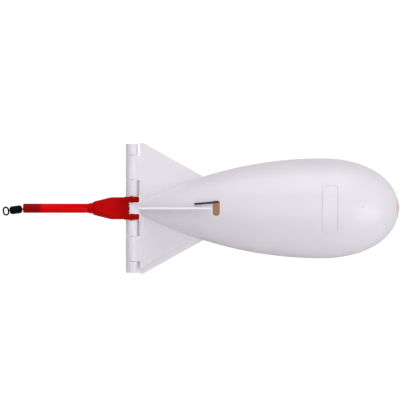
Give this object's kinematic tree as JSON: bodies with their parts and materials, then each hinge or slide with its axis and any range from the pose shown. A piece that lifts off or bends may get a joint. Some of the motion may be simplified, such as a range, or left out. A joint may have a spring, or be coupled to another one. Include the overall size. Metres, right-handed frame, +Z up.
{
  "type": "hinged bait bomb",
  "caption": "Finned plastic bait pod whose two shells open on a cross pin when the nose button is knocked in, with a soft tail boot, tube and line swivel.",
  "frame": {"origin": "On the surface the part lies on, under the middle of its bounding box.", "axes": "+X points from the tail to the nose. +Z is up, with the part lying on two of its fins and its belly. The hinge pin runs along +Y+Z."},
  "size_m": [0.2378, 0.06, 0.06],
  "materials": {
    "white_shell": "glossy white moulded plastic",
    "pin_steel": "plain stainless wire",
    "white_cap": "glossy white moulded plastic",
    "spring_steel": "dark oiled spring wire",
    "red_button": "glossy red moulded plastic",
    "grey_housing": "satin grey moulded plastic",
    "screw_steel": "zinc-plated steel",
    "red_boot": "satin red soft plastic",
    "red_tube": "glossy red soft tubing",
    "trace_coating": "black nylon-coated wire",
    "crimp_metal": "dull dark brass",
    "black_nickel": "black nickel plate"
  },
  "bodies": {
    "lower_half": {"lower_shell": "white_shell", "hinge_pin": "pin_steel", "hinge_pin_cap": "white_cap", "opening_spring_coil": "spring_steel", "lower_spring_leg": "spring_steel", "latch_housing": "grey_housing", "latch_clip": "spring_steel", "button_spring": "spring_steel", "housing_screw_left": "screw_steel", "housing_screw_right": "screw_steel"},
    "upper_half": {"upper_shell": "white_shell", "upper_spring_leg": "spring_steel"},
    "button": {"nose_button": "red_button", "button_clip": "pin_steel"},
    "tail": {"tail_boot": "red_boot", "tail_tube": "red_tube", "trace_cable": "trace_coating", "trace_stop": "crimp_metal", "trace_crimp": "crimp_metal"},
    "front_eye": {"swivel_front_eye": "black_nickel"},
    "barrel": {"swivel_barrel": "black_nickel"},
    "rear_eye": {"swivel_rear_eye": "black_nickel"}
  },
  "joints": [
    {"name": "shell_opening", "type": "hinge", "parent": "lower_half", "child": "upper_half", "pos_m": [-0.04123, 0, 0.03], "axis": [0, -0.7071, -0.7071], "range_deg": [0, 65], "deforming": ["latch_clip"]},
    {"name": "tail_swing", "type": "hinge", "parent": "lower_half", "child": "tail", "pos_m": [-0.04123, 0, 0.03], "axis": [0, 0.7071, 0.7071], "range_deg": [-65, 5]},
    {"name": "button_press", "type": "slide", "parent": "lower_half", "child": "button", "axis": [-1, 0, 0], "range_m": [0, 0.0035], "stiffness_N_per_m": 1500, "springref_m": -0.001, "deforming": ["button_spring"]},
    {"name": "swivel_tilt", "type": "hinge", "parent": "tail", "child": "front_eye", "pos_m": [-0.10373, 0, 0.03], "axis": [0, -0.7071, 0.7071], "range_deg": [-22.5, 7.5]},
    {"name": "barrel_spin", "type": "hinge", "parent": "front_eye", "child": "barrel", "pos_m": [-0.10373, 0, 0.03], "axis": [-0.9914, -0.0923, -0.0923], "continuous": true},
    {"name": "rear_eye_spin", "type": "hinge", "parent": "barrel", "child": "rear_eye", "pos_m": [-0.10373, 0, 0.03], "axis": [-0.9914, -0.0923, -0.0923], "continuous": true}
  ]
}
